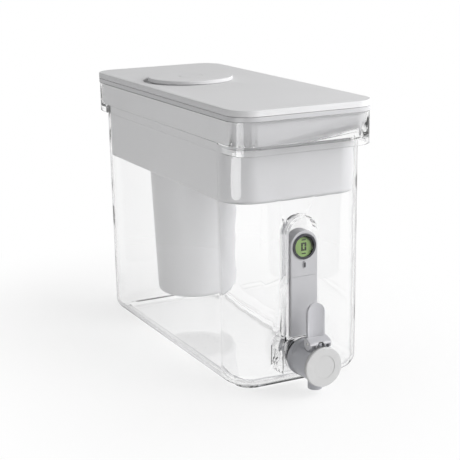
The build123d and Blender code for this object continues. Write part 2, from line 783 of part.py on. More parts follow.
with BuildPart() as tap_body:
    # barrel with a flange at the wall and a raised ring
    disc(barrel_back, barrel_radius, end_cap_back - barrel_back)
    disc(barrel_back, barrel_flange_radius, barrel_flange)
    disc(barrel_back + barrel_ring_offset, barrel_ring_radius, barrel_ring)
    # spout
    upright(0, -spout_y, nozzle_bottom, nozzle_radius, tap_z - nozzle_bottom)
    fillet(tap_body.edges().group_by(Axis.Z)[0], nozzle_edge)
    # shank through the wall, with thread grooves past the nut's face
    disc(shank_end, shank_radius, barrel_back - shank_end)
    thread_count = int((pad_back - shank_end) / thread_pitch)
    for turn in range(thread_count):
        groove = shank_end + turn * thread_pitch
        disc(groove, shank_radius, thread_pitch / 2, hole=shank_radius - thread_depth, mode=Mode.SUBTRACT)
    # chamber, flow bore and outlet
    disc(chamber_back, chamber_radius, end_cap_back - chamber_back, mode=Mode.SUBTRACT)
    disc(shank_end, flow_bore_radius, chamber_back - shank_end, mode=Mode.SUBTRACT)
    upright(0, -spout_y, valve_seat, seat_radius, chamber_radius, mode=Mode.SUBTRACT)
    upright(0, -spout_y, nozzle_bottom, nozzle_bore_radius, valve_seat - nozzle_bottom, mode=Mode.SUBTRACT)
    # flat deck under the lever
    with BuildSketch(lengthwise):
        with Locations((pivot_y + deck_front, deck_z)):
            Rectangle(deck_length, 2 * deck_clearance, align=(Align.MAX, Align.MIN))
    extrude(amount=2 * cheek_outer, both=True, mode=Mode.SUBTRACT)
    # stem guide with a recess for its seal
    upright(0, -spout_y, guide_bottom, guide_radius, (deck_z - guide_bottom) / 2)
    upright(0, -spout_y, guide_bottom, stem_radius + running_gap, 2 * deck_clearance, mode=Mode.SUBTRACT)
    seal_recess = 2 * stem_seal_radius
    recess_radius = stem_radius + seal_recess + running_gap
    upright(0, -spout_y, deck_z - seal_recess, recess_radius, seal_recess, mode=Mode.SUBTRACT)
    # two ears that carry the pivot pin
    with BuildSketch(lengthwise):
        with Locations((pivot_y, pivot_z)):
            Circle(ear_radius)
        with Locations((pivot_y, pivot_z)):
            Rectangle(2 * ear_radius, deck_clearance, align=(Align.CENTER, Align.MAX))
        with Locations((pivot_y, pivot_z)):
            Circle(pivot_radius, mode=Mode.SUBTRACT)
    extrude(amount=ear_outer, both=True)
    with BuildSketch(lengthwise):
        with Locations((pivot_y, deck_z)):
            Rectangle(2 * cheek_radius, 2 * deck_clearance, align=(Align.CENTER, Align.MIN))
    extrude(amount=ear_inner, both=True, mode=Mode.SUBTRACT)
tap_body.part.label = "tap_body"
export_step(tap_body.part, "parts/tap_body.step")

with BuildPart() as tap_end_cap:
    disc(end_cap_back, end_cap_radius, end_cap_thickness)
    fillet(tap_end_cap.edges().group_by(Axis.Y)[0], end_cap_edge)
    disc(tap_reach - end_cap_badge_depth, end_cap_badge_radius, end_cap_badge_depth, mode=Mode.SUBTRACT)
    disc(end_cap_back - spigot_length, chamber_radius - running_gap, spigot_length)
    groove_back = end_cap_back - spigot_length / 2 - spigot_groove / 2
    groove_hole = chamber_radius - running_gap - 2 * seal_ring_radius
    disc(groove_back, chamber_radius, spigot_groove, hole=groove_hole, mode=Mode.SUBTRACT)
tap_end_cap.part.label = "tap_end_cap"
export_step(tap_end_cap.part, "parts/tap_end_cap.step")

with BuildPart() as end_cap_seal:
    with BuildSketch(lengthwise):
        ring_y = groove_back + spigot_groove / 2
        ring_section(ring_y, tap_z + groove_hole + seal_ring_radius, seal_ring_radius)
    revolve(axis=Axis((0, 0, tap_z), (0, 1, 0)))
end_cap_seal.part.label = "end_cap_seal"
export_step(end_cap_seal.part, "parts/end_cap_seal.step")

with BuildPart() as outer_gasket:
    disc(pad_front, gasket_radius, gasket_thickness, hole=shank_radius)
outer_gasket.part.label = "outer_gasket"
export_step(outer_gasket.part, "parts/outer_gasket.step")

with BuildPart() as inner_gasket:
    disc(nut_front, inner_gasket_radius, gasket_thickness, hole=shank_radius)
inner_gasket.part.label = "inner_gasket"
export_step(inner_gasket.part, "parts/inner_gasket.step")

with BuildPart() as shank_nut:
    with BuildSketch(Plane.XZ.offset(nut_back)):
        with Locations((0, tap_z)):
            RegularPolygon(nut_radius, nut_sides)
    extrude(amount=nut_thickness)
    chamfer(shank_nut.faces().sort_by(Axis.Y)[-1].edges(), nut_edge)
    disc(nut_back, shank_radius, nut_thickness, mode=Mode.SUBTRACT)
shank_nut.part.label = "shank_nut"
export_step(shank_nut.part, "parts/shank_nut.step")

with BuildPart() as inlet_hood:
    # clear hood over the inside end of the shank that draws water from near the floor
    with BuildSketch(Plane.XZ.offset(inlet_back)):
        arch_outline(inlet_half_width, inlet_bottom, inlet_top)
    extrude(amount=inlet_depth)
    fillet(inlet_hood.faces().sort_by(Axis.Y)[-1].edges().filter_by(GeomType.CIRCLE), inlet_wall)
    with BuildSketch(Plane.XZ.offset(inlet_back + inlet_wall)):
        arch_outline(inlet_half_width, inlet_bottom - inlet_wall, inlet_top, inset=inlet_wall)
    extrude(amount=inlet_depth - 2 * inlet_wall, mode=Mode.SUBTRACT)
    disc(inlet_front - inlet_wall, shank_radius, inlet_wall, mode=Mode.SUBTRACT)
    # notches along the bottom edge
    tooth_pitch = inlet_depth / inlet_tooth_count
    with BuildSketch(Plane.YZ):
        for tooth in range(inlet_tooth_count):
            with Locations((-inlet_back - (tooth + 0.5) * tooth_pitch, inlet_bottom)):
                Rectangle(tooth_pitch / 2, inlet_tooth, align=(Align.CENTER, Align.MIN))
    extrude(amount=2 * inlet_half_width, both=True, mode=Mode.SUBTRACT)
inlet_hood.part.label = "inlet_hood"
export_step(inlet_hood.part, "parts/inlet_hood.step")

# ---------------------------------------------------------------- lever, valve and spring
with BuildPart() as pivot_pin:
    with BuildSketch(lengthwise):
        with Locations((pivot_y, pivot_z)):
            Circle(pivot_radius)
    extrude(amount=cheek_outer - seat_gap, both=True)
pivot_pin.part.label = "pivot_pin"
export_step(pivot_pin.part, "parts/pivot_pin.step")

with BuildPart() as paddle:
    # blade with a round top and a hollowed front
    with BuildSketch(Plane.XZ.offset(paddle_back)):
        arch_outline(paddle_half_width, hood_top - hood_skin, paddle_top)
    extrude(amount=paddle_thickness)
    fillet(paddle.edges().filter_by(GeomType.CIRCLE), paddle_edge)
    with BuildSketch(Plane.XY.offset(hood_top)):
        with Locations((0, -paddle_front - dish_radius + dish_depth)):
            Circle(dish_radius)
    extrude(amount=paddle_height, mode=Mode.SUBTRACT)

with BuildPart() as lever:
    # root: two round cheeks joined by a hood that slopes down to the front
    nose_y = pivot_y + nose_reach
    with BuildSketch(lengthwise):
        with BuildLine():
            back = (paddle_back, pivot_z)
            front = (pivot_y + cheek_radius, pivot_z)
            nose = (nose_y, pivot_z + nose_rise)
            Polyline(back, (paddle_back, hood_top), (paddle_front, hood_top), nose, front)
            ThreePointArc(front, (pivot_y, pivot_z - cheek_radius), back)
        make_face()
    extrude(amount=cheek_outer, both=True)
    chamfer(lever.faces().filter_by(Axis.X).edges(), cheek_edge)
    # hollow under the hood, open at the back and the bottom
    with BuildSketch(lengthwise):
        with BuildLine():
            under_back = paddle_back - cheek_radius
            hood_under = hood_top - hood_skin
            hood_slope = (hood_rise - nose_rise) / (nose_y - paddle_front)
            nose_under = pivot_z + nose_rise - hood_skin + hood_skin * hood_slope
            Polyline(
                (under_back, pivot_z - cheek_radius),
                (under_back, hood_under),
                (paddle_front, hood_under),
                (nose_y - hood_skin, nose_under),
                (nose_y - hood_skin, pivot_z - cheek_radius),
                close=True,
            )
        make_face()
    extrude(amount=cheek_inner, both=True, mode=Mode.SUBTRACT)
    with BuildSketch(lengthwise):
        with Locations((pivot_y, pivot_z)):
            Circle(cheek_radius - hood_skin)
        with Locations((pivot_y, pivot_z)):
            Rectangle(2 * cheek_radius, cheek_radius, align=(Align.CENTER, Align.MAX), mode=Mode.INTERSECT)
    extrude(amount=cheek_inner, both=True, mode=Mode.SUBTRACT)
    # openings in the hood's front: an arch in the middle and one slot before each ear
    with BuildSketch(Plane.XZ.offset(nose_y - hood_skin)):
        arch_outline(arch_radius, pivot_z - cheek_radius, pivot_z + arch_rise)
        ear_slot = ear_outer - ear_inner + 2 * seat_gap
        with Locations((0, pivot_z - slot_drop)):
            with GridLocations(ear_outer + ear_inner, 0, 2, 1):
                Rectangle(ear_slot, cheek_radius, align=(Align.CENTER, Align.MAX))
    extrude(amount=cheek_radius, mode=Mode.SUBTRACT)
    add(paddle.part)
    # nubs that reach in under the stem's head, and the pin hole
    with BuildSketch(lengthwise):
        with Locations((spout_y, pivot_z)):
            Circle(nub_radius)
    extrude(amount=cheek_inner, both=True)
    with BuildSketch(lengthwise):
        with Locations((spout_y, pivot_z)):
            Circle(nub_radius + running_gap)
    extrude(amount=nub_inner, both=True, mode=Mode.SUBTRACT)
    with BuildSketch(lengthwise):
        with Locations((pivot_y, pivot_z)):
            Circle(pivot_radius + running_gap)
    extrude(amount=cheek_outer, both=True, mode=Mode.SUBTRACT)
lever.part.label = "lever"
export_step(lever.part, "parts/lever.step")

with BuildPart() as valve_stem:
    upright(0, -spout_y, stem_bottom, stem_radius, stem_head_bottom - stem_bottom)
    upright(0, -spout_y, plug_top, stem_flange_radius, stem_flange)
    with BuildSketch(Plane.XY.offset(stem_head_bottom)):
        with Locations((0, -spout_y)):
            RectangleRounded(stem_head_width, stem_head_length, stem_head_corner)
    extrude(amount=stem_head)
valve_stem.part.label = "valve_stem"
export_step(valve_stem.part, "parts/valve_stem.step")

with BuildPart() as valve_plug:
    upright(0, -spout_y, plug_bottom, plug_radius, plug_thickness)
    fillet(valve_plug.edges().group_by(Axis.Z)[0], plug_edge)
    upright(0, -spout_y, stem_bottom, stem_radius, stem_insert, mode=Mode.SUBTRACT)
valve_plug.part.label = "valve_plug"
export_step(valve_plug.part, "parts/valve_plug.step")

with BuildPart() as valve_spring:
    # coil between the stem's flange and the guide, a wire's radius clear of both
    coil_bottom = spring_bottom + spring_wire + running_gap
    coil_top = guide_bottom - spring_wire - running_gap
    coil_pitch = (coil_top - coil_bottom) / spring_turns
    with BuildLine() as coil:
        Helix(coil_pitch, coil_top - coil_bottom, spring_radius, center=(0, -spout_y, coil_bottom))
    with BuildSketch(Plane(origin=coil.line @ 0, z_dir=coil.line % 0)):
        ring_section(0, 0, spring_wire)
    sweep()
valve_spring.part.label = "valve_spring"
export_step(valve_spring.part, "parts/valve_spring.step")

with BuildPart() as stem_seal:
    with BuildSketch(lengthwise):
        seal_middle_y = spout_y + stem_radius + running_gap + stem_seal_radius
        ring_section(seal_middle_y, deck_z - stem_seal_radius, stem_seal_radius)
    revolve(axis=Axis((0, -spout_y, 0), (0, 0, 1)))
stem_seal.part.label = "stem_seal"
export_step(stem_seal.part, "parts/stem_seal.step")
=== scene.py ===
import bpy
import bmesh
import json
from math import radians, sin, cos, pi
from mathutils import Matrix, Vector

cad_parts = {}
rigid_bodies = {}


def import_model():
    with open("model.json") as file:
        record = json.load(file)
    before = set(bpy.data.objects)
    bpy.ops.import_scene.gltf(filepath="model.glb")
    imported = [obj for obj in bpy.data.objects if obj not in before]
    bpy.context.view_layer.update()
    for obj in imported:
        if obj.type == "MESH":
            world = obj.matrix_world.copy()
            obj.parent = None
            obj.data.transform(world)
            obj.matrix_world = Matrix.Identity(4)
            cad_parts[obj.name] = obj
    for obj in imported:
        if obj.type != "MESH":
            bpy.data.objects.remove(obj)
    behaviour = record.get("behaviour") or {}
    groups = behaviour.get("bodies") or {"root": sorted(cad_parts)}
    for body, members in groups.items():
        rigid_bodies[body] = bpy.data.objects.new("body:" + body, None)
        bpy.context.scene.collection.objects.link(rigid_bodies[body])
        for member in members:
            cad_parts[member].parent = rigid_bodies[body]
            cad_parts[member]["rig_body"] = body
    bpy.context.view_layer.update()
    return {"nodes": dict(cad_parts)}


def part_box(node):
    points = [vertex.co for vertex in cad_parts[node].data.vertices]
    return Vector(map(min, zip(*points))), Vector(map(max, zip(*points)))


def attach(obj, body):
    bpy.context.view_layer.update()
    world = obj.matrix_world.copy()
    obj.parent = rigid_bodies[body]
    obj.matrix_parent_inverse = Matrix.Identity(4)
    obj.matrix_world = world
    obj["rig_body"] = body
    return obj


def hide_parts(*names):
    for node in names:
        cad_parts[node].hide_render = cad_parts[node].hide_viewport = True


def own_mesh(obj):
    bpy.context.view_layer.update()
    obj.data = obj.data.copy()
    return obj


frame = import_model()
nodes = frame["nodes"]
mm = 0.001


def hexColour(code):
    # sRGB hex to the linear values that sockets take
    parts = [int(code[i:i + 2], 16) / 255 for i in (1, 3, 5)]
    return [c / 12.92 if c <= 0.04045 else ((c + 0.055) / 1.055) ** 2.4 for c in parts] + [1.0]


def addNode(tree, kind, settings=None, links=None):
    # one node with its values, and the sockets that feed it
    node = tree.nodes.new(kind)
    for key, value in (settings or {}).items():
        if isinstance(key, int) or key in node.inputs:
            node.inputs[key].default_value = value
        else:
            setattr(node, key, value)
    for key, source in (links or {}).items():
        tree.links.new(source, node.inputs[key])
    return node


def newMaterial(name):
    material = bpy.data.materials.new(name)
    material.use_nodes = True
    material.node_tree.nodes.clear()
    return material, material.node_tree


def finishMaterial(tree, shader):
    addNode(tree, "ShaderNodeOutputMaterial", {}, {"Surface": shader})


# plastics

absLook = {
    "colour": "#D2D2D3",
    "roughness": 0.34,
    "polished": 0.04,        # how much smoother the worn patches are
    "dulled": 0.05,          # and how much rougher the fresh ones
    "ior": 1.53,
    "sheen": 0.5,
    "driftSize": 60.0,
    "mottle": 0.025,
    "grainSize": 0.5,        # the mould's spark grain is near 0.1 mm and is drawn coarser, so that it shows
    "grainDetail": 2.5,      # how much finer the noise inside the grain is
    "grainDepth": 0.012,
    "grainStrength": 0.35,
}


def plastic(name, **changes):
    # injection-moulded plastic: an even spark-eroded grain, a slow drift of shade, and worn polish where it is touched
    look = {**absLook, **changes}
    material, tree = newMaterial(name)
    place = addNode(tree, "ShaderNodeTexCoord").outputs["Object"]
    drift = addNode(tree, "ShaderNodeTexNoise", {"Scale": 1.0 / (look["driftSize"] * mm), "Detail": 3.0},
                    {"Vector": place})
    base = hexColour(look["colour"])
    dark = [c * (1 - look["mottle"]) for c in base[:3]] + [1.0]
    tint = addNode(tree, "ShaderNodeMix", {"data_type": "RGBA", 6: base, 7: dark}, {0: drift.outputs["Fac"]})
    grain = addNode(tree, "ShaderNodeTexVoronoi", {"Scale": 1.0 / (look["grainSize"] * mm)}, {"Vector": place})
    fine = addNode(tree, "ShaderNodeTexNoise",
                   {"Scale": look["grainDetail"] / (look["grainSize"] * mm), "Detail": 2.0}, {"Vector": place})
    pits = addNode(tree, "ShaderNodeMath", {"operation": "MULTIPLY"},
                   {0: grain.outputs["Distance"], 1: fine.outputs["Fac"]})
    bump = addNode(tree, "ShaderNodeBump", {"Strength": look["grainStrength"], "Distance": look["grainDepth"] * mm},
                   {"Height": pits.outputs[0]})
    polish = addNode(tree, "ShaderNodeMapRange",
                     {"To Min": look["roughness"] - look["polished"], "To Max": look["roughness"] + look["dulled"]},
                     {"Value": drift.outputs["Fac"]})
    skin = addNode(tree, "ShaderNodeBsdfPrincipled", {"IOR": look["ior"], "Specular IOR Level": look["sheen"]},
                   {"Base Color": tint.outputs[2], "Roughness": polish.outputs["Result"],
                    "Normal": bump.outputs["Normal"]})
    finishMaterial(tree, skin.outputs["BSDF"])
    return material


sanLook = {
    "colour": "#FFFFFF",
    "edge": "#6E6E74",          # painted shade: grey mixed into the glass where the wall is seen along its surface, to draw dark outlines
    "paintedRimFrom": 0.6,
    "paintedRimTo": 0.88,
    "shade": "#F8F8F8",         # what one wall leaves of the light that passes
    "bodyTint": "#C2C6C6",
    "bodyDensity": 4.0,
    "ior": 1.5,
    "roughness": 0.0,
    "waveLength": 70.0,
    "waveDepth": 0.05,
    "waveStrength": 0.05,
}


def clearStyrene(name, **changes):
    # clear SAN from a polished mould: no haze, faint flow waves, and it lets lamp light through
    look = {**sanLook, **changes}
    material, tree = newMaterial(name)
    place = addNode(tree, "ShaderNodeTexCoord").outputs["Object"]
    flow = addNode(tree, "ShaderNodeTexNoise", {"Scale": 1.0 / (look["waveLength"] * mm), "Detail": 1.0},
                   {"Vector": place})
    wave = addNode(tree, "ShaderNodeBump", {"Strength": look["waveStrength"], "Distance": look["waveDepth"] * mm},
                   {"Height": flow.outputs["Fac"]})
    # painted shade: the tint turns grey as the wall is seen more edge-on, so the glass's outlines show dark
    slant = addNode(tree, "ShaderNodeLayerWeight", {"Blend": 0.5})
    edge = addNode(tree, "ShaderNodeMapRange", {"From Min": look["paintedRimFrom"], "From Max": look["paintedRimTo"]},
                   {"Value": slant.outputs["Facing"]})
    tint = addNode(tree, "ShaderNodeMix",
                   {"data_type": "RGBA", 6: hexColour(look["colour"]), 7: hexColour(look["edge"])},
                   {0: edge.outputs["Result"]})
    glass = addNode(tree, "ShaderNodeBsdfPrincipled",
                    {"Transmission Weight": 1.0, "IOR": look["ior"], "Roughness": look["roughness"]},
                    {"Base Color": tint.outputs[2], "Normal": wave.outputs["Normal"]})
    clear = addNode(tree, "ShaderNodeBsdfTransparent", {"Color": hexColour(look["shade"])})
    path = addNode(tree, "ShaderNodeLightPath")
    both = addNode(tree, "ShaderNodeMixShader", {},
                   {0: path.outputs["Is Shadow Ray"], 1: glass.outputs["BSDF"], 2: clear.outputs["BSDF"]})
    body = addNode(tree, "ShaderNodeVolumeAbsorption",
                   {"Color": hexColour(look["bodyTint"]), "Density": look["bodyDensity"]})
    addNode(tree, "ShaderNodeOutputMaterial", {},
            {"Surface": both.outputs["Shader"], "Volume": body.outputs["Volume"]})
    return material


# rubber, metal, board, carbon and the display's glass

rubberLook = {
    "poreStrength": 0.5,
    "polished": 0.06,
    "dulled": 0.08,
    "glowReach": 2.0,        # how far light creeps into it
}


def softRubber(name, **changes):
    # moulded elastomer: fine open pores, a dusty bloom in patches and a broad dull sheen
    look = {**rubberLook, **changes}
    material, tree = newMaterial(name)
    place = addNode(tree, "ShaderNodeTexCoord").outputs["Object"]
    bloom = addNode(tree, "ShaderNodeTexNoise", {"Scale": 1.0 / (look["bloomSize"] * mm), "Detail": 4.0},
                    {"Vector": place})
    tint = addNode(tree, "ShaderNodeMix",
                   {"data_type": "RGBA", 6: hexColour(look["colour"]), 7: hexColour(look["bloom"])},
                   {0: bloom.outputs["Fac"]})
    pores = addNode(tree, "ShaderNodeTexVoronoi", {"Scale": 1.0 / (look["poreSize"] * mm)}, {"Vector": place})
    bump = addNode(tree, "ShaderNodeBump", {"Strength": look["poreStrength"], "Distance": look["poreDepth"] * mm},
                   {"Height": pores.outputs["Distance"]})
    dull = addNode(tree, "ShaderNodeMapRange",
                   {"To Min": look["roughness"] - look["polished"], "To Max": look["roughness"] + look["dulled"]},
                   {"Value": bloom.outputs["Fac"]})
    skin = addNode(tree, "ShaderNodeBsdfPrincipled",
                   {"IOR": look["ior"], "Subsurface Weight": look["glow"],
                    "Subsurface Radius": [look["glowReach"] * mm] * 3},
                   {"Base Color": tint.outputs[2], "Roughness": dull.outputs["Result"],
                    "Normal": bump.outputs["Normal"]})
    finishMaterial(tree, skin.outputs["BSDF"])
    return material


metalLook = {
    "smearSize": 9.0,
    "lineStrength": 0.4,
    "polished": 0.06,
    "dulled": 0.08,
}


def drawnMetal(name, **changes):
    # metal with the fine lines of its drawing or rolling, along one axis, and a faint smear of handling
    look = {**metalLook, **changes}
    material, tree = newMaterial(name)
    place = addNode(tree, "ShaderNodeTexCoord").outputs["Object"]
    along = addNode(tree, "ShaderNodeMapping", {"Scale": [s / (look["lineWidth"] * mm) for s in look["stretch"]]},
                    {"Vector": place})
    lines = addNode(tree, "ShaderNodeTexNoise", {"Scale": 1.0, "Detail": 3.0}, {"Vector": along.outputs["Vector"]})
    smear = addNode(tree, "ShaderNodeTexNoise", {"Scale": 1.0 / (look["smearSize"] * mm), "Detail": 2.0},
                    {"Vector": place})
    tint = addNode(tree, "ShaderNodeMix",
                   {"data_type": "RGBA", 6: hexColour(look["colour"]), 7: hexColour(look["dark"])},
                   {0: smear.outputs["Fac"]})
    bump = addNode(tree, "ShaderNodeBump", {"Strength": look["lineStrength"], "Distance": look["lineDepth"] * mm},
                   {"Height": lines.outputs["Fac"]})
    polish = addNode(tree, "ShaderNodeMapRange",
                     {"To Min": look["roughness"] - look["polished"], "To Max": look["roughness"] + look["dulled"]},
                     {"Value": lines.outputs["Fac"]})
    skin = addNode(tree, "ShaderNodeBsdfPrincipled", {"Metallic": 1.0},
                   {"Base Color": tint.outputs[2], "Roughness": polish.outputs["Result"],
                    "Normal": bump.outputs["Normal"]})
    finishMaterial(tree, skin.outputs["BSDF"])
    return material


boardLook = {
    "colour": "#1C5A36",
    "track": "#2F7A4A",
    "trackPitch": 1.3,
    "trackWidth": 0.06,
    "weaveSize": 0.5,
    "weaveShare": 0.15,      # how much of the relief is the weave's
    "reliefDepth": 0.03,
    "reliefStrength": 0.6,
    "roughness": 0.35,
    "coat": 0.4,
    "coatRoughness": 0.15,
}


def solderMask(name, look):
    # glass-fibre board under green lacquer, with raised copper tracks and the weave just showing
    material, tree = newMaterial(name)
    place = addNode(tree, "ShaderNodeTexCoord").outputs["Object"]
    flat = addNode(tree, "ShaderNodeMapping", {"Rotation": (radians(90), 0, 0)}, {"Vector": place})
    tracks = addNode(tree, "ShaderNodeTexBrick",
                     {"Scale": 1.0 / (look["trackPitch"] * mm), "Color1": (0, 0, 0, 1), "Color2": (0, 0, 0, 1),
                      "Mortar": (1, 1, 1, 1), "Mortar Size": look["trackWidth"], "Brick Width": 3.0, "Row Height": 0.8},
                     {"Vector": flat.outputs["Vector"]})
    weave = addNode(tree, "ShaderNodeTexWave", {"Scale": 1.0 / (look["weaveSize"] * mm)}, {"Vector": place})
    tint = addNode(tree, "ShaderNodeMix",
                   {"data_type": "RGBA", 6: hexColour(look["colour"]), 7: hexColour(look["track"])},
                   {0: tracks.outputs["Color"]})
    relief = addNode(tree, "ShaderNodeMix", {"data_type": "RGBA", 0: look["weaveShare"]},
                     {6: tracks.outputs["Color"], 7: weave.outputs["Color"]})
    bump = addNode(tree, "ShaderNodeBump",
                   {"Strength": look["reliefStrength"], "Distance": look["reliefDepth"] * mm},
                   {"Height": relief.outputs[2]})
    skin = addNode(tree, "ShaderNodeBsdfPrincipled",
                   {"Roughness": look["roughness"], "Coat Weight": look["coat"],
                    "Coat Roughness": look["coatRoughness"]},
                   {"Base Color": tint.outputs[2], "Normal": bump.outputs["Normal"]})
    finishMaterial(tree, skin.outputs["BSDF"])
    return material


carbonLook = {
    "colour": "#141416",
    "dust": "#333337",
    "dustSize": 1.2,
    "poreSize": 0.3,
    "poreDepth": 0.12,
    "poreStrength": 0.8,
    "roughness": 0.92,
    "sheen": 0.3,
}


def carbonMedia(name, look):
    # activated carbon: matt black with a grey dusting on the broken faces
    material, tree = newMaterial(name)
    place = addNode(tree, "ShaderNodeTexCoord").outputs["Object"]
    dust = addNode(tree, "ShaderNodeTexNoise", {"Scale": 1.0 / (look["dustSize"] * mm), "Detail": 5.0},
                   {"Vector": place})
    cells = addNode(tree, "ShaderNodeTexVoronoi", {"Scale": 1.0 / (look["poreSize"] * mm)}, {"Vector": place})
    tint = addNode(tree, "ShaderNodeMix",
                   {"data_type": "RGBA", 6: hexColour(look["colour"]), 7: hexColour(look["dust"])},
                   {0: dust.outputs["Fac"]})
    bump = addNode(tree, "ShaderNodeBump", {"Strength": look["poreStrength"], "Distance": look["poreDepth"] * mm},
                   {"Height": cells.outputs["Distance"]})
    skin = addNode(tree, "ShaderNodeBsdfPrincipled",
                   {"Roughness": look["roughness"], "Specular IOR Level": look["sheen"]},
                   {"Base Color": tint.outputs[2], "Normal": bump.outputs["Normal"]})
    finishMaterial(tree, skin.outputs["BSDF"])
    return material


displayLook = {
    "colour": "#E0F5BE",
    "grain": "#D0E9A8",
    "edge": "#C2DE96",
    "cloudSize": 8.0,
    "streaks": (0.12, 1.0, 5.0),     # grains in each millimetre, along X, Y and Z
    "roughness": 0.28,
    "coat": 0.5,
    "coatRoughness": 0.05,
}


def displayGlass(name, look):
    # reflective liquid crystal: pale green with the polariser's fine grain across it
    material, tree = newMaterial(name)
    place = addNode(tree, "ShaderNodeTexCoord").outputs["Object"]
    streak = addNode(tree, "ShaderNodeMapping", {"Scale": [s / mm for s in look["streaks"]]}, {"Vector": place})
    grain = addNode(tree, "ShaderNodeTexNoise", {"Scale": 1.0, "Detail": 2.0}, {"Vector": streak.outputs["Vector"]})
    cloud = addNode(tree, "ShaderNodeTexNoise", {"Scale": 1.0 / (look["cloudSize"] * mm)}, {"Vector": place})
    fine = addNode(tree, "ShaderNodeMix",
                   {"data_type": "RGBA", 6: hexColour(look["colour"]), 7: hexColour(look["grain"])},
                   {0: grain.outputs["Fac"]})
    tint = addNode(tree, "ShaderNodeMix", {"data_type": "RGBA", 7: hexColour(look["edge"])},
                   {0: cloud.outputs["Fac"], 6: fine.outputs[2]})
    skin = addNode(tree, "ShaderNodeBsdfPrincipled",
                   {"Roughness": look["roughness"], "Coat Weight": look["coat"],
                    "Coat Roughness": look["coatRoughness"]},
                   {"Base Color": tint.outputs[2]})
    finishMaterial(tree, skin.outputs["BSDF"])
    return material


# CAD nodes that keep their shape

skinning = {
    "mergeGap": 0.001,       # points this close are one
    "thinnest": 0.0001,
    "smoothAngle": 32,       # edges that turn more than this stay crisp
}


def weighNormals(piece):
    # flat faces keep their own direction and only round ones blend, so that reflections stay straight
    weigh = piece.modifiers.new("faceWeight", "WEIGHTED_NORMAL")
    weigh.mode = "FACE_AREA"
    weigh.weight = 100
    weigh.keep_sharp = True
    solved = bpy.data.meshes.new_from_object(piece.evaluated_get(bpy.context.evaluated_depsgraph_get()))
    piece.modifiers.clear()
    piece.data = solved


def dressNode(nodeName, material):
    # a merged copy of the CAD solid, so that its round faces shade smoothly and its edges stay crisp
    source = nodes[nodeName]
    mesh = source.data.copy()
    form = bmesh.new()
    form.from_mesh(mesh)
    bmesh.ops.remove_doubles(form, verts=form.verts, dist=skinning["mergeGap"] * mm)
    bmesh.ops.dissolve_degenerate(form, edges=form.edges, dist=skinning["thinnest"] * mm)
    form.to_mesh(mesh)
    form.free()
    mesh.materials.clear()
    mesh.materials.append(material)
    mesh.shade_smooth()
    mesh.set_sharp_from_angle(angle=radians(skinning["smoothAngle"]))
    piece = bpy.data.objects.new(nodeName + "Skin", mesh)
    bpy.context.scene.collection.objects.link(piece)
    weighNormals(piece)
    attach(piece, source["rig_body"])
    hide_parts(nodeName)
    return piece


# the lid's ABS comes from an etched mould and is nearly matt, the hopper's is satin
lidAbs = plastic("lidAbs", colour="#E3E3E4", roughness=0.62, sheen=0.15)
hopperAbs = plastic("hopperAbs", colour="#C9C9CB")
# the tap and the display unit are a darker grey, and the lever is polished by fingers
tapAbs = plastic("tapAbs", colour="#B8B9BE", roughness=0.36)
meterAbs = plastic("meterAbs", colour="#BFBFC2")
leverAbs = plastic("leverAbs", colour="#BCBCC0", roughness=0.3)
capAbs = plastic("capAbs", colour="#CFCFCF")
bezelAbs = plastic("bezelAbs", colour="#3A3A40", roughness=0.25, mottle=0.06)     # dark and glossy
# polypropylene of the cartridge: whiter, duller and a little waxy
filterPp = plastic("filterPp", colour="#E8E8E8", roughness=0.42, ior=1.49)
# printed black of the display's figures, with no grain
segmentInk = plastic("segmentInk", colour="#12160F", roughness=0.4, grainStrength=0.0, mottle=0.1, driftSize=2.0)
screenMesh = plastic("screenPolyester", colour="#D8DADC", roughness=0.38, grainStrength=0.1)   # drawn thread: smooth
tankSan = clearStyrene("tankSan")
windowPmma = clearStyrene("windowPmma", ior=1.49, waveStrength=0.0, bodyDensity=2.0)           # flat acrylic sheet
lcdGlass = displayGlass("lcdGlass", displayLook)
epdmRubber = softRubber("epdmRubber", colour="#131316", bloom="#26262A", bloomSize=5.0, poreSize=0.25,
                        poreDepth=0.02, roughness=0.58, ior=1.52, glow=0.0)
silicone = softRubber("silicone", colour="#CDD0D3", bloom="#BEC1C5", bloomSize=7.0, poreSize=0.35,
                      poreDepth=0.01, roughness=0.45, ior=1.41, glow=0.3)
# stainless pin with lines along it, spring wire with lines along the wire, and plated steel with lines round it
pinSteel = drawnMetal("pinSteel", colour="#BDBCB8", dark="#A9A8A4", roughness=0.26, lineWidth=0.08,
                      lineDepth=0.004, stretch=(0.03, 1, 1))
springSteel = drawnMetal("springSteel", colour="#B8B7B2", dark="#A09F9A", roughness=0.3, lineWidth=0.06,
                         lineDepth=0.004, stretch=(1, 1, 0.3))
cellNickel = drawnMetal("cellNickel", colour="#C9C6BE", dark="#B4B1A8", roughness=0.24, lineWidth=0.12,
                        lineDepth=0.003, stretch=(1, 1, 0.05))
boardLacquer = solderMask("boardLacquer", boardLook)
activatedCarbon = carbonMedia("activatedCarbon", carbonLook)

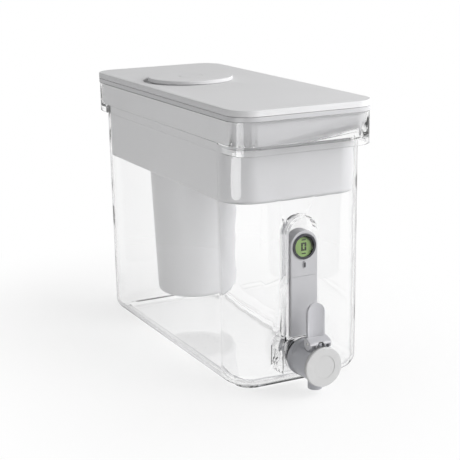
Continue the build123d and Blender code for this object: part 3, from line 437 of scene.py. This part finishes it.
# the material and the slot of each CAD node that keeps its shape
finishes = {
    "tank": (tankSan, "clear_polymer"),
    "inlet_hood": (tankSan, "clear_polymer"),
    "display_window": (windowPmma, "window_polymer"),
    "hopper": (hopperAbs, "hopper_plastic"),
    "lid": (lidAbs, "lid_plastic"),
    "fill_cap": (lidAbs, "lid_plastic"),
    "filter_housing": (filterPp, "filter_plastic"),
    "filter_cap": (filterPp, "filter_plastic"),
    "filter_seal": (silicone, "silicone"),
    "valve_plug": (silicone, "silicone"),
    "end_cap_seal": (epdmRubber, "black_rubber"),
    "stem_seal": (epdmRubber, "black_rubber"),
    "outer_gasket": (epdmRubber, "black_rubber"),
    "inner_gasket": (epdmRubber, "black_rubber"),
    "tap_body": (tapAbs, "tap_grey"),
    "shank_nut": (tapAbs, "tap_grey"),
    "lever": (leverAbs, "tap_grey"),
    "tap_end_cap": (capAbs, "cap_plastic"),
    "pivot_pin": (pinSteel, "steel"),
    "valve_stem": (capAbs, "stem_plastic"),
    "meter_housing": (meterAbs, "meter_plastic"),
    "battery_cover": (meterAbs, "meter_plastic"),
    "meter_back_cover": (meterAbs, "meter_plastic"),
    "meter_button": (meterAbs, "meter_plastic"),
    "display_bezel": (bezelAbs, "bezel_plastic"),
    "lcd_panel": (lcdGlass, "lcd_glass"),
    "circuit_board": (boardLacquer, "board_laminate"),
    "coin_cells": (cellNickel, "steel"),
    "battery_contact": (cellNickel, "contact_metal"),
}
for nodeName, (material, slot) in finishes.items():
    dressNode(nodeName, material)
print("dressed", len(finishes))

# display segments

digits = {
    "centreZ": 144.5,
    "back": -171.06,
    "front": -171.10,
    "width": 5.8,
    "height": 8.4,
    "across": 1.7,      # thickness of the strokes that run across
    "upright": 2.0,     # thickness of the strokes that stand
    "split": 0.35,      # gap between the upper and lower strokes
    "gap": 0.12,        # gap between a stroke that runs across and those that stand
    "corner": 0.22,
    "barWidth": 4.8,
    "barHeight": 1.1,
    "barAbove": 6.9,
    "barBelow": -6.9,
}


def segmentBoxes():
    # a zero in seven-segment style, and the level bars above and below it
    halfWidth = digits["width"] / 2
    halfHeight = digits["height"] / 2
    inner = halfWidth - digits["upright"]
    reach = inner - digits["gap"]
    boxes = [(-reach, reach, halfHeight - digits["across"], halfHeight),
             (-reach, reach, -halfHeight, -halfHeight + digits["across"])]
    for side in (-1, 1):
        edges = sorted((side * inner, side * halfWidth))
        boxes.append((*edges, digits["split"] / 2, halfHeight))
        boxes.append((*edges, -halfHeight, -digits["split"] / 2))
    for rise in (digits["barAbove"], digits["barBelow"]):
        boxes.append((-digits["barWidth"] / 2, digits["barWidth"] / 2,
                      rise - digits["barHeight"] / 2, rise + digits["barHeight"] / 2))
    return boxes


def addBlock(form, low, high):
    corners = [form.verts.new((x * mm, y * mm, z * mm))
               for x in (low[0], high[0]) for y in (low[1], high[1]) for z in (low[2], high[2])]
    for ring in ((0, 1, 3, 2), (4, 6, 7, 5), (0, 4, 5, 1), (2, 3, 7, 6), (0, 2, 6, 4), (1, 5, 7, 3)):
        form.faces.new([corners[i] for i in ring])


def finishForm(form, name, material, body):
    # the mesh faces outward, is one object and rides on its body
    bmesh.ops.recalc_face_normals(form, faces=form.faces)
    mesh = bpy.data.meshes.new(name)
    form.to_mesh(mesh)
    form.free()
    mesh.materials.append(material)
    piece = bpy.data.objects.new(name, mesh)
    bpy.context.scene.collection.objects.link(piece)
    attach(piece, body)
    return piece


def makeSegments():
    form = bmesh.new()
    for left, right, low, high in segmentBoxes():
        addBlock(form, (left, digits["front"], digits["centreZ"] + low),
                 (right, digits["back"], digits["centreZ"] + high))
    depth = abs(digits["back"] - digits["front"]) * mm
    corners = [e for e in form.edges if abs(e.verts[0].co.y - e.verts[1].co.y) > depth / 2]
    bmesh.ops.bevel(form, geom=corners, offset=digits["corner"] * mm, segments=2, affect="EDGES")
    finishForm(form, "displaySegments", segmentInk, "display_unit")


makeSegments()

pill = {
    "halfWidth": 1.0,
    "halfHeight": 2.7,
    "proud": 0.03,
    "sunk": 0.1,
    "steps": 10,         # points on each round end
}


def makePill():
    # the dark upright mark in the middle of the button
    low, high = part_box("meter_button")
    middle = ((low[0] + high[0]) / 2, (low[2] + high[2]) / 2)
    straight = pill["halfHeight"] - pill["halfWidth"]
    rim = []
    for start, rise in ((0, straight), (pi, -straight)):
        for step in range(pill["steps"]):
            angle = start + pi * step / (pill["steps"] - 1)
            rim.append((middle[0] + cos(angle) * pill["halfWidth"] * mm,
                        middle[1] + (sin(angle) * pill["halfWidth"] + rise) * mm))
    form = bmesh.new()
    front = [form.verts.new((x, low[1] - pill["proud"] * mm, z)) for x, z in rim]
    back = [form.verts.new((x, low[1] + pill["sunk"] * mm, z)) for x, z in rim]
    form.faces.new(front)
    form.faces.new(back)
    for i in range(len(rim)):
        j = (i + 1) % len(rim)
        form.faces.new((front[i], front[j], back[j], back[i]))
    finishForm(form, "buttonMark", bezelAbs, "button")


makePill()
print("display segments and button mark")

# ribs under the lid

ribs = {
    "top": 282.7,
    "bottom": 279.4,
    "thick": 1.4,
    "draft": 0.25,
    "reach": 75.7,
    "crossAt": (-134.0, -106.0, -78.0, -50.0, -22.0),
    "longFrom": -183.0,
    "longTo": -14.0,
    "longAt": (-30.0, 30.0),
}


def addRib(form, start, end):
    # a moulded rib that thins towards its free edge
    along = Vector((end[0] - start[0], end[1] - start[1])).normalized()
    aside = Vector((-along.y, along.x))
    rows = []
    for height, half in ((ribs["bottom"], ribs["thick"] / 2 - ribs["draft"]), (ribs["top"], ribs["thick"] / 2)):
        rows.append([form.verts.new(((p[0] + aside.x * s * half) * mm, (p[1] + aside.y * s * half) * mm, height * mm))
                     for p, s in ((start, -1), (start, 1), (end, 1), (end, -1))])
    low, high = rows
    form.faces.new(low)
    form.faces.new(high)
    for i in range(4):
        form.faces.new((low[i], low[(i + 1) % 4], high[(i + 1) % 4], high[i]))


def makeRibs():
    form = bmesh.new()
    for y in ribs["crossAt"]:
        addRib(form, (-ribs["reach"], y), (ribs["reach"], y))
    for x in ribs["longAt"]:
        addRib(form, (x, ribs["longFrom"]), (x, ribs["longTo"]))
    finishForm(form, "lidRibs", lidAbs, "lid_plate")


makeRibs()
print("lid ribs")

# pieces that repeat one shape, from geometry nodes

def newRecipe(name, numbers):
    # an empty node group with named number inputs and one mesh output
    tree = bpy.data.node_groups.new(name, "GeometryNodeTree")
    tree.interface.new_socket("Mesh", in_out="OUTPUT", socket_type="NodeSocketGeometry")
    tree.interface.new_socket("Base", in_out="INPUT", socket_type="NodeSocketGeometry")
    for label, kind in numbers.items():
        tree.interface.new_socket(label, in_out="INPUT", socket_type=kind)
    entry = tree.nodes.new("NodeGroupInput")
    return tree, entry.outputs


def bakeRecipe(tree, name, base, values, body, replaced):
    # the recipe runs once on its base mesh and leaves a plain mesh behind
    source = bpy.data.objects.new(name + "Base", base)
    bpy.context.scene.collection.objects.link(source)
    recipe = source.modifiers.new("recipe", "NODES")
    recipe.node_group = tree
    sockets = {item.name: item.identifier for item in tree.interface.items_tree if item.in_out == "INPUT"}
    for label, value in values.items():
        recipe[sockets[label]] = value
    solved = source.evaluated_get(bpy.context.evaluated_depsgraph_get())
    mesh = bpy.data.meshes.new_from_object(solved)
    bpy.data.objects.remove(source)
    piece = bpy.data.objects.new(name, mesh)
    bpy.context.scene.collection.objects.link(piece)
    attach(piece, body)
    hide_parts(replaced)
    return piece


def closeRecipe(tree, mesh, material, smooth):
    real = addNode(tree, "GeometryNodeRealizeInstances", {}, {"Geometry": mesh})
    shaded = addNode(tree, "GeometryNodeSetShadeSmooth", {"Shade Smooth": smooth}, {"Geometry": real.outputs[0]})
    dressed = addNode(tree, "GeometryNodeSetMaterial", {"Material": material}, {"Geometry": shaded.outputs[0]})
    addNode(tree, "NodeGroupOutput", {}, {"Mesh": dressed.outputs[0]})


spring = {
    "turns": 5.5,
    "wireRadius": 0.5,
    "closing": 0.68,      # how much the end coils close up
    "coilSteps": 40,      # points in each turn
    "wireSteps": 12,
}


def springRecipe():
    # a spiral whose turns ease together at both ends, with a round wire swept along it
    tree, given = newRecipe("coilRecipe", {"Radius": "NodeSocketFloat", "Height": "NodeSocketFloat",
                                           "Low": "NodeSocketFloat", "Wire": "NodeSocketFloat"})
    coil = addNode(tree, "GeometryNodeCurveSpiral", {"Resolution": spring["coilSteps"], "Rotations": spring["turns"]},
                   {"Start Radius": given["Radius"], "End Radius": given["Radius"], "Height": given["Height"]})
    spot = addNode(tree, "GeometryNodeInputPosition")
    here = addNode(tree, "ShaderNodeSeparateXYZ", {}, {0: spot.outputs[0]})
    share = addNode(tree, "ShaderNodeMath", {"operation": "DIVIDE"}, {0: here.outputs["Z"], 1: given["Height"]})
    angle = addNode(tree, "ShaderNodeMath", {"operation": "MULTIPLY", 1: 2 * pi}, {0: share.outputs[0]})
    swing = addNode(tree, "ShaderNodeMath", {"operation": "SINE"}, {0: angle.outputs[0]})
    pull = addNode(tree, "ShaderNodeMath", {"operation": "MULTIPLY", 1: spring["closing"] / (2 * pi)},
                   {0: swing.outputs[0]})
    eased = addNode(tree, "ShaderNodeMath", {"operation": "SUBTRACT"}, {0: share.outputs[0], 1: pull.outputs[0]})
    level = addNode(tree, "ShaderNodeMath", {"operation": "MULTIPLY_ADD"},
                    {0: eased.outputs[0], 1: given["Height"], 2: given["Low"]})
    place = addNode(tree, "ShaderNodeCombineXYZ", {},
                    {"X": here.outputs["X"], "Y": here.outputs["Y"], "Z": level.outputs[0]})
    moved = addNode(tree, "GeometryNodeSetPosition", {}, {"Geometry": coil.outputs[0], "Position": place.outputs[0]})
    section = addNode(tree, "GeometryNodeCurvePrimitiveCircle", {"Resolution": spring["wireSteps"]},
                      {"Radius": given["Wire"]})
    wire = addNode(tree, "GeometryNodeCurveToMesh", {"Fill Caps": True},
                   {"Curve": moved.outputs[0], "Profile Curve": section.outputs[0]})
    closeRecipe(tree, wire.outputs[0], springSteel, True)
    return tree


def makeSpring():
    low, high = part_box("valve_spring")
    wire = spring["wireRadius"] * mm
    radius = min(high[0] - low[0], high[1] - low[1]) / 2 - wire
    height = high[2] - low[2] - 2 * wire
    piece = bakeRecipe(springRecipe(), "valveSpringCoil", bpy.data.meshes.new("coilBase"),
                       {"Radius": radius, "Height": height, "Low": low[2] + wire, "Wire": wire},
                       "valve", "valve_spring")
    piece.data.transform(Matrix.Translation(((low[0] + high[0]) / 2, (low[1] + high[1]) / 2, 0)))
    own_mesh(piece)


makeSpring()
print("valve spring")

screen = {
    "pitch": 2.6,           # a real screen is finer and is drawn coarser, so that it shows
    "wireRadius": 0.24,
    "wireSteps": 6,
    "wave": 0.26,
    "rimRadius": 0.55,
    "rimSteps": 96,
    "hoopSteps": 10,
    "rimGap": 0.5,          # room between the rim and the housing
    "bendsPerPitch": 4,
}


def screenRecipe():
    # threads laid side by side and cut to the round, waved over and under, crossed by a turned copy, in a rim
    tree, given = newRecipe("screenRecipe", {"Radius": "NodeSocketFloat", "Height": "NodeSocketFloat"})
    pitch = screen["pitch"] * mm
    inner = addNode(tree, "ShaderNodeMath", {"operation": "SUBTRACT", 1: screen["rimRadius"] * mm},
                    {0: given["Radius"]})
    share = addNode(tree, "ShaderNodeMath", {"operation": "DIVIDE", 1: pitch}, {0: inner.outputs[0]})
    count = addNode(tree, "ShaderNodeMath", {"operation": "ROUND"}, {0: share.outputs[0]})
    rows = addNode(tree, "ShaderNodeMath", {"operation": "MULTIPLY_ADD", 1: 2, 2: -1}, {0: count.outputs[0]})
    first = addNode(tree, "ShaderNodeMath", {"operation": "MULTIPLY_ADD", 1: -pitch, 2: pitch}, {0: count.outputs[0]})
    start = addNode(tree, "ShaderNodeCombineXYZ", {}, {"Y": first.outputs[0]})
    line = addNode(tree, "GeometryNodeMeshLine", {"Offset": (0, pitch, 0)},
                   {"Count": rows.outputs[0], "Start Location": start.outputs[0]})
    spot = addNode(tree, "GeometryNodeInputPosition")
    here = addNode(tree, "ShaderNodeSeparateXYZ", {}, {0: spot.outputs[0]})
    whole = addNode(tree, "ShaderNodeMath", {"operation": "MULTIPLY"}, {0: inner.outputs[0], 1: inner.outputs[0]})
    off = addNode(tree, "ShaderNodeMath", {"operation": "MULTIPLY"}, {0: here.outputs["Y"], 1: here.outputs["Y"]})
    left = addNode(tree, "ShaderNodeMath", {"operation": "SUBTRACT"}, {0: whole.outputs[0], 1: off.outputs[0]})
    chord = addNode(tree, "ShaderNodeMath", {"operation": "SQRT"}, {0: left.outputs[0]})
    size = addNode(tree, "ShaderNodeCombineXYZ", {"Y": 1.0, "Z": 1.0}, {"X": chord.outputs[0]})
    stick = addNode(tree, "GeometryNodeCurvePrimitiveLine", {"Start": (-1, 0, 0), "End": (1, 0, 0)})
    laid = addNode(tree, "GeometryNodeInstanceOnPoints", {},
                   {"Points": line.outputs[0], "Instance": stick.outputs[0], "Scale": size.outputs[0]})
    real = addNode(tree, "GeometryNodeRealizeInstances", {}, {"Geometry": laid.outputs[0]})
    fine = addNode(tree, "GeometryNodeResampleCurve", {"mode": "LENGTH", "Length": pitch / screen["bendsPerPitch"]},
                   {"Curve": real.outputs[0]})
    waves = []
    for axis in ("X", "Y"):
        angle = addNode(tree, "ShaderNodeMath", {"operation": "MULTIPLY", 1: pi / pitch}, {0: here.outputs[axis]})
        waves.append(addNode(tree, "ShaderNodeMath", {"operation": "COSINE"}, {0: angle.outputs[0]}))
    both = addNode(tree, "ShaderNodeMath", {"operation": "MULTIPLY"}, {0: waves[0].outputs[0], 1: waves[1].outputs[0]})
    lift = addNode(tree, "ShaderNodeMath", {"operation": "MULTIPLY", 1: screen["wave"] * mm}, {0: both.outputs[0]})
    offset = addNode(tree, "ShaderNodeCombineXYZ", {}, {"Z": lift.outputs[0]})
    weft = addNode(tree, "GeometryNodeSetPosition", {}, {"Geometry": fine.outputs[0], "Offset": offset.outputs[0]})
    warp = addNode(tree, "GeometryNodeTransform", {"Rotation": (pi, 0, pi / 2)}, {"Geometry": weft.outputs[0]})
    rim = addNode(tree, "GeometryNodeCurvePrimitiveCircle", {"Resolution": screen["rimSteps"]},
                  {"Radius": inner.outputs[0]})
    cloth = addNode(tree, "GeometryNodeJoinGeometry", {}, {0: weft.outputs[0]})
    tree.links.new(warp.outputs[0], cloth.inputs[0])
    thread = addNode(tree, "GeometryNodeCurvePrimitiveCircle",
                     {"Resolution": screen["wireSteps"], "Radius": screen["wireRadius"] * mm})
    hoop = addNode(tree, "GeometryNodeCurvePrimitiveCircle",
                   {"Resolution": screen["hoopSteps"], "Radius": screen["rimRadius"] * mm})
    threads = addNode(tree, "GeometryNodeCurveToMesh", {},
                      {"Curve": cloth.outputs[0], "Profile Curve": thread.outputs[0]})
    edge = addNode(tree, "GeometryNodeCurveToMesh", {}, {"Curve": rim.outputs[0], "Profile Curve": hoop.outputs[0]})
    sheet = addNode(tree, "GeometryNodeJoinGeometry", {}, {0: threads.outputs[0]})
    tree.links.new(edge.outputs[0], sheet.inputs[0])
    level = addNode(tree, "ShaderNodeCombineXYZ", {}, {"Z": given["Height"]})
    raised = addNode(tree, "GeometryNodeTransform", {}, {"Geometry": sheet.outputs[0], "Translation": level.outputs[0]})
    closeRecipe(tree, raised.outputs[0], screenMesh, True)
    return tree


def makeScreens():
    tree = screenRecipe()
    for nodeName in ("top_screen", "bottom_screen"):
        low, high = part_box(nodeName)
        radius = (high[0] - low[0]) / 2 - screen["rimGap"] * mm
        piece = bakeRecipe(tree, nodeName + "Weave", bpy.data.meshes.new(nodeName + "Base"),
                           {"Radius": radius, "Height": (low[2] + high[2]) / 2},
                           nodes[nodeName]["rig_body"], nodeName)
        piece.data.transform(Matrix.Translation(((low[0] + high[0]) / 2, (low[1] + high[1]) / 2, 0)))


makeScreens()
print("screens")

granules = {
    "perSquareMetre": 120000.0,
    "smallest": 0.8,
    "largest": 1.5,
    "inset": 1.7,        # how far the bed is drawn in from the housing, so that the grains keep inside it
    "seed": 4,
}


def granuleRecipe():
    # broken grains of mixed size and turn, strewn over the bed
    tree, given = newRecipe("granuleRecipe", {"Density": "NodeSocketFloat"})
    spread = addNode(tree, "GeometryNodeDistributePointsOnFaces", {"Seed": granules["seed"]},
                     {"Mesh": given["Base"], "Density": given["Density"]})
    chip = addNode(tree, "GeometryNodeMeshIcoSphere", {"Radius": 1.0, "Subdivisions": 1})
    size = addNode(tree, "FunctionNodeRandomValue",
                   {"data_type": "FLOAT_VECTOR", 0: [granules["smallest"] * mm] * 3, 1: [granules["largest"] * mm] * 3,
                    "Seed": granules["seed"] + 1})
    turn = addNode(tree, "FunctionNodeRandomValue",
                   {"data_type": "FLOAT_VECTOR", 1: [2 * pi] * 3, "Seed": granules["seed"] + 2})
    laid = addNode(tree, "GeometryNodeInstanceOnPoints", {},
                   {"Points": spread.outputs["Points"], "Instance": chip.outputs[0],
                    "Rotation": turn.outputs[0], "Scale": size.outputs[0]})
    bed = addNode(tree, "GeometryNodeJoinGeometry", {}, {0: laid.outputs[0]})
    tree.links.new(given["Base"], bed.inputs[0])
    closeRecipe(tree, bed.outputs[0], activatedCarbon, False)
    return tree


def makeGranules():
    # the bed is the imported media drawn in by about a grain, and the grains stand on it
    low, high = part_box("filter_media")
    bed = nodes["filter_media"].data.copy()
    bed.materials.clear()
    middle = [(a + b) / 2 for a, b in zip(low, high)]
    shrink = [1 - 2 * granules["inset"] * mm / (b - a) for a, b in zip(low, high)]
    for point in bed.vertices:
        point.co = Vector([m + (p - m) * share for p, m, share in zip(point.co, middle, shrink)])
    bakeRecipe(granuleRecipe(), "carbonBed", bed, {"Density": granules["perSquareMetre"]},
               "cartridge", "filter_media")


makeGranules()
print("carbon granules")

# floor, world and lamps

studio = {
    "floorSize": 8.0,
    "floorColour": "#F8F8F8",
    "footCentre": (0.0, 0.004, 0.0),
    "footHalf": (0.036, 0.135, 1.0),     # the foot's straight sides, without its round corners
    "footCorner": 0.03,
    "footBlend": (-0.008, 0.002),        # where the shade under the foot passes into the shadow beside it
    "underGlow": 0.96,                   # share of the floor under the tank that shows as plain white
    "edgeGlow": 0.72,                    # the same beside the tank, where its shadow lies
    "fadeReach": 0.30,                   # how far out the shadow has gone
    "skyLight": 0.46,
}


def seenRays(tree):
    # 1 for what the eye, glass and gloss see, 0 for the light that falls on things
    path = addNode(tree, "ShaderNodeLightPath")
    seen = addNode(tree, "ShaderNodeMath", {"operation": "MAXIMUM"},
                   {0: path.outputs["Is Camera Ray"], 1: path.outputs["Is Transmission Ray"]})
    both = addNode(tree, "ShaderNodeMath", {"operation": "MAXIMUM"},
                   {0: seen.outputs[0], 1: path.outputs["Is Glossy Ray"]})
    direct = addNode(tree, "ShaderNodeMath", {"operation": "LESS_THAN", 1: 0.5}, {0: path.outputs["Diffuse Depth"]})
    share = addNode(tree, "ShaderNodeMath", {"operation": "MULTIPLY"}, {0: both.outputs[0], 1: direct.outputs[0]})
    return share.outputs[0]


def footDistance(tree):
    # metres from the middle part of the tank's foot, measured round its corners
    place = addNode(tree, "ShaderNodeTexCoord").outputs["Object"]
    fromMiddle = addNode(tree, "ShaderNodeVectorMath", {"operation": "SUBTRACT", 1: studio["footCentre"]}, {0: place})
    across = addNode(tree, "ShaderNodeVectorMath", {"operation": "ABSOLUTE"}, {0: fromMiddle.outputs[0]})
    past = addNode(tree, "ShaderNodeVectorMath", {"operation": "SUBTRACT", 1: studio["footHalf"]},
                   {0: across.outputs[0]})
    beyond = addNode(tree, "ShaderNodeVectorMath", {"operation": "MAXIMUM", 1: (0, 0, 0)}, {0: past.outputs[0]})
    reach = addNode(tree, "ShaderNodeVectorMath", {"operation": "LENGTH"}, {0: beyond.outputs[0]})
    return reach.outputs["Value"]


def makeFloor():
    # matt white paper that glows white for the eye: beside the tank it keeps part of the tank's shadow, and under the
    # tank a painted white glow covers nearly all of its shadow
    half = studio["floorSize"] / 2
    mesh = bpy.data.meshes.new("floor")
    corners = [(-half, -half, 0), (half, -half, 0), (half, half, 0), (-half, half, 0)]
    mesh.from_pydata(corners, [], [(0, 1, 2, 3)])
    floor = bpy.data.objects.new("floor", mesh)
    bpy.context.scene.collection.objects.link(floor)
    material, tree = newMaterial("paperFloor")
    reach = footDistance(tree)
    edge = studio["footCorner"]
    inside, outside = studio["footBlend"]
    outer = addNode(tree, "ShaderNodeMapRange",
                    {"interpolation_type": "SMOOTHSTEP", "From Min": edge, "From Max": edge + studio["fadeReach"],
                     "To Min": studio["edgeGlow"], "To Max": 1.0},
                    {"Value": reach})
    # painted light: under the tank's foot the glow share rises to underGlow and covers the shadow there
    fade = addNode(tree, "ShaderNodeMapRange",
                   {"interpolation_type": "SMOOTHSTEP", "From Min": edge + inside, "From Max": edge + outside,
                    "To Min": studio["underGlow"]},
                   {"Value": reach, "To Max": outer.outputs["Result"]})
    share = addNode(tree, "ShaderNodeMath", {"operation": "MULTIPLY"}, {0: seenRays(tree), 1: fade.outputs["Result"]})
    paper = addNode(tree, "ShaderNodeBsdfDiffuse", {"Color": hexColour(studio["floorColour"])})
    glow = addNode(tree, "ShaderNodeEmission", {"Color": (1, 1, 1, 1), "Strength": 1.0})
    mix = addNode(tree, "ShaderNodeMixShader", {}, {0: share.outputs[0], 1: paper.outputs[0], 2: glow.outputs[0]})
    # from below the floor is open, so that the underside can be seen
    side = addNode(tree, "ShaderNodeNewGeometry")
    openFloor = addNode(tree, "ShaderNodeBsdfTransparent")
    sheet = addNode(tree, "ShaderNodeMixShader", {},
                    {0: side.outputs["Backfacing"], 1: mix.outputs[0], 2: openFloor.outputs[0]})
    finishMaterial(tree, sheet.outputs[0])
    mesh.materials.append(material)


def makeWorld():
    world = bpy.data.worlds.new("studio")
    bpy.context.scene.world = world
    world.use_nodes = True
    tree = world.node_tree
    tree.nodes.clear()
    level = addNode(tree, "ShaderNodeMapRange", {"To Min": studio["skyLight"], "To Max": 1.0},
                    {"Value": seenRays(tree)})
    sky = addNode(tree, "ShaderNodeBackground", {"Color": (1, 1, 1, 1)}, {"Strength": level.outputs["Result"]})
    addNode(tree, "ShaderNodeOutputWorld", {}, {"Surface": sky.outputs[0]})


softboxes = {
    "keySoftbox": {"place": (1.05, -1.07, 0.93), "target": (0, 0, 0.15), "size": (1.0, 1.0), "power": 20.5},
    # fill light only, with no hard window in the clear wall
    "rightSoftbox": {"place": (1.30, 0.10, 0.34), "target": (0, 0, 0.12), "size": (0.8, 0.5), "power": 5.0,
                     "hidden": "visible_glossy"},
    # only a bright stripe on the tank's round corner
    "leftStrip": {"place": (-0.77, -0.46, 0.17), "target": (-0.05, -0.16, 0.17), "size": (0.50, 0.32), "power": 2.6,
                  "hidden": "visible_diffuse"},
}


def makeLamps():
    for name, box in softboxes.items():
        light = bpy.data.lights.new(name, "AREA")
        light.shape = "RECTANGLE"
        light.size, light.size_y = box["size"]
        light.energy = box["power"]
        lamp = bpy.data.objects.new(name, light)
        bpy.context.scene.collection.objects.link(lamp)
        lamp.location = box["place"]
        lamp.rotation_euler = (Vector(box["target"]) - Vector(box["place"])).to_track_quat("-Z", "Y").to_euler()
        lamp.visible_camera = False
        lamp.visible_transmission = False
        if "hidden" in box:
            setattr(lamp, box["hidden"], False)


makeFloor()
makeWorld()
makeLamps()
print("floor, world and lamps")

# camera

cameraView = {
    "azimuth": -26.571,
    "elevation": 14.291,
    "roll": 0.940,
    "focal": 97.651,
    "sensor": 36.0,
    "aside": -2.955,
    "below": 119.658,
    "distance": 1404.227,
}


def makeCamera():
    turn = radians(cameraView["azimuth"])
    rise = radians(cameraView["elevation"])
    roll = radians(cameraView["roll"])
    back = Vector((sin(turn) * cos(rise), -cos(turn) * cos(rise), sin(rise)))
    level = (-back).cross(Vector((0, 0, 1))).normalized()
    plumb = (-back).cross(level)
    right = level * cos(roll) + plumb * sin(roll)
    down = plumb * cos(roll) - level * sin(roll)
    data = bpy.data.cameras.new("camera")
    data.lens = cameraView["focal"]
    data.sensor_width = cameraView["sensor"]
    data.clip_start = 50 * mm
    camera = bpy.data.objects.new("camera", data)
    bpy.context.scene.collection.objects.link(camera)
    spot = (back * cameraView["distance"] - right * cameraView["aside"] - down * cameraView["below"]) * mm
    axes = Matrix((right, -down, back)).transposed().to_4x4()
    camera.matrix_world = Matrix.Translation(spot) @ axes
    bpy.context.scene.camera = camera


makeCamera()
print("camera")
bpy.context.scene.view_settings.view_transform = "Standard"
